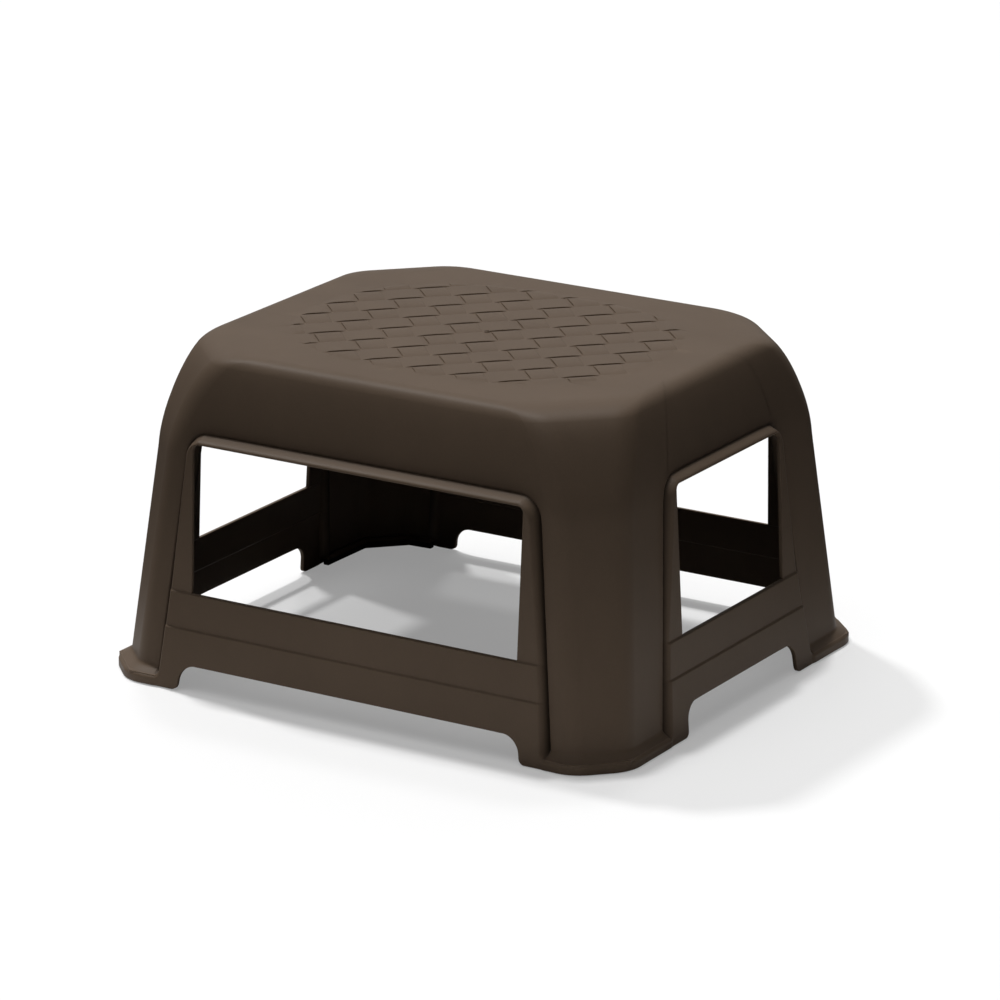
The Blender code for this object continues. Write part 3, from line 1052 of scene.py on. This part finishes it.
class STOOL_OT_ribs(bpy.types.Operator):
    """Build the stiffening ribs under the deck"""
    bl_idname = "stool.ribs"
    bl_label = "Underside ribs"

    def execute(self, context):
        shape = context.scene.stool_shape
        top = DECK_HEIGHT - shape.wall + RIB_ROOT
        build = bmesh.new()
        spans = [((-LONG_RIB_REACH, y), (LONG_RIB_REACH, y)) for y in LONG_RIBS_Y]
        spans += [((x, -CROSS_RIB_REACH), (x, CROSS_RIB_REACH)) for x in CROSS_RIBS_X]
        for start, finish in spans:
            taper_bar(build, start, finish, top, shape.rib_depth, shape.rib_thickness)
        ribs = finish_mesh("underside_ribs", build, brown_plastic(), 30.0)
        put_on_frame(ribs, PLASTIC_SLOT)
        return {"FINISHED"}


class STOOL_OT_gate_mark(bpy.types.Operator):
    """Build the small trimmed sprue left in the middle of the deck"""
    bl_idname = "stool.gate_mark"
    bl_label = "Gate mark"

    def execute(self, context):
        shape = context.scene.stool_shape
        build = bmesh.new()
        base = deck_height(0.0, 0.0, shape.deck_crown)
        turns = [2.0 * math.pi * step / GATE_SIDES for step in range(GATE_SIDES)]
        rings = []
        for radius, rise in GATE_PROFILE:
            points = [(radius * math.cos(turn), radius * math.sin(turn), base + rise) for turn in turns]
            rings.append([build.verts.new(point) for point in points])
        for lower, upper in zip(rings, rings[1:]):
            for index in range(GATE_SIDES):
                after = (index + 1) % GATE_SIDES
                build.faces.new((lower[index], lower[after], upper[after], upper[index]))
        build.faces.new(rings[0][::-1])
        build.faces.new(rings[-1])
        mark = finish_mesh("gate_mark", build, brown_plastic(), 40.0)
        put_on_frame(mark, PLASTIC_SLOT)
        return {"FINISHED"}


def corner_strip(corner, inset, width):
    """Plan outline of a strip that follows the wall of one foot, set in from the foot's outer face."""
    end_x, end_y = STRIP_ENDS
    rims = []
    for distance in (inset, inset + width):
        chamfer = FOOT_CHAMFER - distance * CHAMFER_LOSS + STRIP_RELIEF
        x = HALF_LENGTH - distance
        y = HALF_WIDTH - distance
        rims.append([(x, end_y), (x, y - chamfer), (x - chamfer, y), (end_x, y)])
    return [(corner[0] * x, corner[1] * y) for x, y in rims[0] + rims[1][::-1]]


def strip_piece(name, outline, low, high, bevel, material):
    """A flat strip with softened edges, from its plan outline."""
    build = bmesh.new()
    lower = [build.verts.new((x, y, low)) for x, y in outline]
    upper = [build.verts.new((x, y, high)) for x, y in outline]
    build.faces.new(lower[::-1])
    build.faces.new(upper)
    for index in range(len(outline)):
        after = (index + 1) % len(outline)
        build.faces.new((lower[index], lower[after], upper[after], upper[index]))
    bmesh.ops.bevel(build, geom=build.edges[:], offset=bevel, segments=3, profile=0.5, affect="EDGES")
    return finish_mesh(name, build, material, 40.0)


class STOOL_OT_feet(bpy.types.Operator):
    """Build the four rubber foot pads and the webs that they are pressed against"""
    bl_idname = "stool.feet"
    bl_label = "Feet"

    def execute(self, context):
        for name, corner in CORNERS.items():
            node = "foot_pad_" + name
            low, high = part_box(node)
            outline = corner_strip(corner, PAD_INSET, PAD_WIDTH)
            pad = strip_piece("rubber_pad_" + name, outline, low[2], high[2], PAD_BEVEL, black_rubber())
            put_on_frame(pad, RUBBER_SLOT, node)
            outline = corner_strip(corner, WEB_INSET, WEB_WIDTH)
            bottom = high[2] + CLEARANCE
            top = bottom + WEB_THICKNESS
            web = strip_piece("foot_web_" + name, outline, bottom, top, WEB_BEVEL, brown_plastic())
            put_on_frame(web, PLASTIC_SLOT)
        return {"FINISHED"}


def distant_light(name, towards, strength, spread):
    """A softbox far away in a direction, its spread in degrees as seen from the stool."""
    lamp = bpy.data.lights.new(name, "SUN")
    lamp.energy = strength
    lamp.angle = math.radians(spread)
    light = bpy.data.objects.new(name, lamp)
    light.location = Vector(towards) * 2.0
    light.rotation_euler = Vector(towards).to_track_quat("Z", "Y").to_euler()
    bpy.context.scene.collection.objects.link(light)


def sky_patch(nodes, links, direction, towards, edge, middle, strength):
    """A soft bright patch of the studio's ceiling or back wall, on a nearly dark room."""
    centre = Vector(towards).normalized()
    facing = vector_node(nodes, links, "DOT_PRODUCT", direction, centre)["Value"]
    return range_node(nodes, links, facing, edge, middle, 0.02 * strength, strength, "SMOOTHSTEP")


def floor_paint(stage):
    """Matt white whose light reaches the stool only from close by. The camera sees its shadows lifted."""
    paint = bpy.data.materials.new("studio_floor")
    paint.use_nodes = True
    nodes, links = paint.node_tree.nodes, paint.node_tree.links
    shader = nodes["Principled BSDF"]
    shader.inputs["Roughness"].default_value = 0.9
    shader.inputs["Specular IOR Level"].default_value = 0.1
    shader.inputs["Emission Color"].default_value = (1.0, 1.0, 1.0, 1.0)
    seen = nodes.new("ShaderNodeLightPath").outputs["Is Camera Ray"]
    lift = math_node(nodes, links, "MULTIPLY", seen, stage.floor_lift)
    links.new(lift, shader.inputs["Emission Strength"])
    place = nodes.new("ShaderNodeTexCoord").outputs["Object"]
    offset = vector_node(nodes, links, "SUBTRACT", place, BOUNCE_CENTRE)["Vector"]
    distance = vector_node(nodes, links, "LENGTH", offset)["Value"]
    bounce = range_node(nodes, links, distance, *BOUNCE_REACH, *BOUNCE_ALBEDO, "SMOOTHSTEP")
    folded = vector_node(nodes, links, "ABSOLUTE", place)["Vector"]
    footprint = (HALF_LENGTH, HALF_WIDTH, 0.0)
    sides = nodes.new("ShaderNodeSeparateXYZ")
    links.new(vector_node(nodes, links, "SUBTRACT", folded, footprint)["Vector"], sides.inputs[0])
    gap = math_node(nodes, links, "MAXIMUM", sides.outputs["X"], sides.outputs["Y"])
    open_floor = range_node(nodes, links, gap, -0.03, 0.0, 0.05, 1.0)
    albedo = nodes.new("ShaderNodeMix")
    albedo.inputs["B"].default_value = SEEN_ALBEDO
    links.new(seen, albedo.inputs["Factor"])
    links.new(math_node(nodes, links, "MULTIPLY", bounce, open_floor), albedo.inputs["A"])
    links.new(albedo.outputs["Result"], shader.inputs["Base Color"])
    return paint


class STOOL_OT_stage(bpy.types.Operator):
    """Set up the pale floor, the soft studio light and the camera"""
    bl_idname = "stool.stage"
    bl_label = "Stage"

    def execute(self, context):
        stage = context.scene.stool_stage
        bpy.ops.mesh.primitive_plane_add(size=30.0, location=(0.0, 0.0, 0.0))
        floor = context.object
        floor.name = "studio_floor"
        floor.data.materials.append(floor_paint(stage))
        floor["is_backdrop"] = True
        distant_light("overhead_key", OVERHEAD_KEY, stage.key_light, 4.0)
        distant_light("side_key", SIDE_KEY, stage.side_light, 5.0)
        distant_light("rear_key", REAR_KEY, stage.rear_light, 7.0)
        world = bpy.data.worlds.new("studio_room")
        world.use_nodes = True
        nodes, links = world.node_tree.nodes, world.node_tree.links
        background = nodes["Background"]
        background.inputs["Color"].default_value = (1.0, 1.0, 1.0, 1.0)
        direction = nodes.new("ShaderNodeTexCoord").outputs["Generated"]
        glow = sky_patch(nodes, links, direction, BACK_WALL, 0.60, 0.98, stage.room_light)
        dome = sky_patch(nodes, links, direction, CEILING, 0.85, 0.97, stage.dome_light)
        seen = nodes.new("ShaderNodeLightPath").outputs["Is Camera Ray"]
        room = math_node(nodes, links, "ADD", glow, dome)
        links.new(math_node(nodes, links, "MAXIMUM", room, seen), background.inputs["Strength"])
        context.scene.world = world
        context.scene.view_settings.view_transform = "Standard"
        self.add_camera(context, stage)
        return {"FINISHED"}

    def add_camera(self, context, stage):
        lens = bpy.data.cameras.new("camera")
        lens.lens = LENS
        lens.sensor_width = SENSOR
        lens.clip_end = 60.0
        camera = bpy.data.objects.new("camera", lens)
        flat = math.cos(stage.elevation)
        east = math.sin(stage.azimuth) * flat
        north = -math.cos(stage.azimuth) * flat
        back = Vector((east, north, math.sin(stage.elevation)))
        turn = back.to_track_quat("Z", "Y").to_matrix() @ Matrix.Rotation(stage.roll, 3, "Z")
        spot = Vector(CAMERA_TARGET) + back * stage.distance
        camera.matrix_world = Matrix.Translation(spot) @ turn.to_4x4()
        context.scene.collection.objects.link(camera)
        context.scene.camera = camera


class STOOL_PT_panel(bpy.types.Panel):
    """Buttons for the stool's pieces and its stage"""
    bl_label = "Step stool"
    bl_idname = "STOOL_PT_panel"
    bl_space_type = "VIEW_3D"
    bl_region_type = "UI"
    bl_category = "Stool"

    def draw(self, context):
        for operator in (STOOL_OT_shell, STOOL_OT_ribs, STOOL_OT_gate_mark, STOOL_OT_feet, STOOL_OT_stage):
            self.layout.operator(operator.bl_idname)
        for name in ("stool_shape", "stool_finish", "stool_stage"):
            settings = getattr(context.scene, name)
            for field in settings.bl_rna.properties.keys():
                if field not in ("rna_type", "name"):
                    self.layout.prop(settings, field)


CLASSES = (
    StoolShape, StoolFinish, StoolStage,
    STOOL_OT_shell, STOOL_OT_ribs, STOOL_OT_gate_mark, STOOL_OT_feet, STOOL_OT_stage, STOOL_PT_panel,
)


def register():
    for one in CLASSES:
        bpy.utils.register_class(one)
    bpy.types.Scene.stool_shape = PointerProperty(type=StoolShape)
    bpy.types.Scene.stool_finish = PointerProperty(type=StoolFinish)
    bpy.types.Scene.stool_stage = PointerProperty(type=StoolStage)


def unregister():
    del bpy.types.Scene.stool_stage
    del bpy.types.Scene.stool_finish
    del bpy.types.Scene.stool_shape
    for one in reversed(CLASSES):
        bpy.utils.unregister_class(one)


def main():
    register()
    bpy.ops.stool.shell()
    bpy.ops.stool.ribs()
    bpy.ops.stool.gate_mark()
    bpy.ops.stool.feet()
    bpy.ops.stool.stage()
    boxes = {"cad": CAD_BOX, "visual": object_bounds()}
    sizes = {name: [list(corner) for corner in box] for name, box in boxes.items()}


if __name__ == "__main__":
    main()
